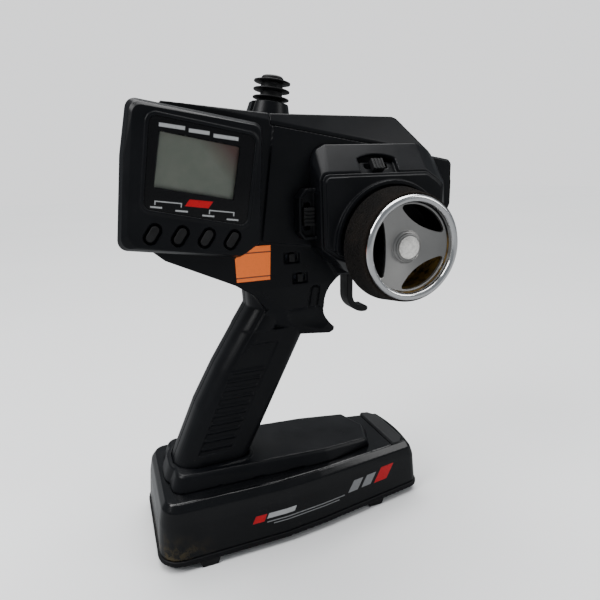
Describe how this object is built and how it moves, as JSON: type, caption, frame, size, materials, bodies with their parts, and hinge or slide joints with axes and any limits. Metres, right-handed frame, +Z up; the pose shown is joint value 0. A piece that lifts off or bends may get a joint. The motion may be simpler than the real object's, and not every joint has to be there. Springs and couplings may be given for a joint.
{
  "type": "radio transmitter controller",
  "caption": "Pistol-grip radio control transmitter with side steering wheel, throttle trigger, display pod and battery base.",
  "frame": {"origin": "on the floor, under the middle of the overall bounding box", "axes": "+X forward, the way the trigger faces; +Y to the left, away from the wheel; +Z up"},
  "size_m": [0.1913, 0.1046, 0.2622],
  "materials": {
    "base_gloss": "moulded ABS, polished, with fine handling scratches",
    "case_satin": "moulded ABS, satin",
    "bottom_plastic": "moulded ABS, fine texture",
    "pad_plastic": "coarse moulded texture",
    "wheel_plastic": "moulded nylon",
    "foam": "open-cell foam",
    "soft_rubber": "soft black",
    "chrome_ring": "bright plated",
    "satin_metal": "satin, lightly worn",
    "cap_plastic": "off-white",
    "lens": "polished black with a clear window",
    "lcd": "grey-green liquid crystal",
    "label": "printed orange film",
    "screw_steel": "zinc plated",
    "bracket_metal": "stamped sheet",
    "brass": "turned",
    "nylon": "natural nylon",
    "part_casing": "component casing",
    "board_green": "glass-fibre board with solder mask",
    "cell_wrap": "printed steel cans",
    "wire_red": "PVC sleeved wire"
  },
  "bodies": {
    "handset": {"base_bottom": "bottom_plastic", "base_shell": "base_gloss", "battery_tray": "bottom_plastic", "battery_cells": "cell_wrap", "battery_contacts": "screw_steel", "rubber_feet": "soft_rubber", "base_screws": "screw_steel", "deck_block": "case_satin", "front_pad": "pad_plastic", "case_right": "case_satin", "case_left": "case_satin", "top_cover": "case_satin", "case_screws": "screw_steel", "display_pod": "case_satin", "pod_back": "case_satin", "display_lens": "lens", "lcd_module": "lcd", "display_board": "board_green", "side_label": "label", "antenna_collar": "case_satin", "antenna_boot": "soft_rubber", "antenna_socket": "brass", "wheel_housing": "case_satin", "housing_plate": "case_satin", "shaft_bushes": "brass", "steering_bracket": "bracket_metal", "steering_pot": "part_casing", "centering_spring": "screw_steel", "trigger_bracket": "bracket_metal", "trigger_spring": "screw_steel", "throttle_pot": "part_casing", "neck_switch_bodies": "part_casing", "power_switch_body": "part_casing", "charge_jack": "part_casing", "main_board": "board_green", "rf_board": "board_green", "wire_harness": "wire_red"},
    "steering_wheel": {"steering_shaft": "screw_steel", "centering_cam": "nylon", "wheel_core": "wheel_plastic", "wheel_spokes": "satin_metal", "wheel_ring": "chrome_ring", "wheel_foam": "foam", "hub_cap": "cap_plastic"},
    "throttle_trigger": {"trigger": "soft_rubber", "trigger_pin": "screw_steel"},
    "button_1": {"menu_button_1": "soft_rubber"},
    "button_2": {"menu_button_2": "soft_rubber"},
    "button_3": {"menu_button_3": "soft_rubber"},
    "button_4": {"menu_button_4": "soft_rubber"},
    "steering_trim_tab": {"steering_trim": "soft_rubber"},
    "throttle_trim_tab": {"throttle_trim": "soft_rubber"},
    "upper_neck_switch": {"upper_switch": "soft_rubber"},
    "lower_neck_switch": {"lower_switch": "soft_rubber"},
    "power_slider": {"power_switch": "nylon"},
    "battery_cover": {"battery_door": "bottom_plastic"}
  },
  "joints": [
    {"name": "wheel_turn", "type": "hinge", "parent": "handset", "child": "steering_wheel", "pos_m": [0.044, -0.03815, 0.1726], "axis": [0, -1, 0], "range_deg": [-35, 35]},
    {"name": "trigger_pull", "type": "hinge", "parent": "handset", "child": "throttle_trigger", "pos_m": [0.0414, 0.01185, 0.1625], "axis": [0, 1, 0], "range_deg": [-10, 20]},
    {"name": "button_1_press", "type": "slide", "parent": "handset", "child": "button_1", "axis": [0, 1, 0], "range_m": [0, 0.001]},
    {"name": "button_2_press", "type": "slide", "parent": "handset", "child": "button_2", "axis": [0, 1, 0], "range_m": [0, 0.001]},
    {"name": "button_3_press", "type": "slide", "parent": "handset", "child": "button_3", "axis": [0, 1, 0], "range_m": [0, 0.001]},
    {"name": "button_4_press", "type": "slide", "parent": "handset", "child": "button_4", "axis": [0, 1, 0], "range_m": [0, 0.001]},
    {"name": "steering_trim_slide", "type": "slide", "parent": "handset", "child": "steering_trim_tab", "axis": [1, 0, 0], "range_m": [-0.004, 0.004]},
    {"name": "throttle_trim_slide", "type": "slide", "parent": "handset", "child": "throttle_trim_tab", "axis": [0, 0, 1], "range_m": [-0.004, 0.004]},
    {"name": "upper_switch_slide", "type": "slide", "parent": "handset", "child": "upper_neck_switch", "axis": [1, 0, 0], "range_m": [-0.0015, 0.0015]},
    {"name": "lower_switch_slide", "type": "slide", "parent": "handset", "child": "lower_neck_switch", "axis": [1, 0, 0], "range_m": [-0.0015, 0.0015]},
    {"name": "power_switch_slide", "type": "slide", "parent": "handset", "child": "power_slider", "axis": [1, 0, 0], "range_m": [-0.004, 0.004]},
    {"name": "battery_door_slide", "type": "slide", "parent": "handset", "child": "battery_cover", "axis": [-1, 0, 0], "range_m": [0, 0.03]}
  ]
}
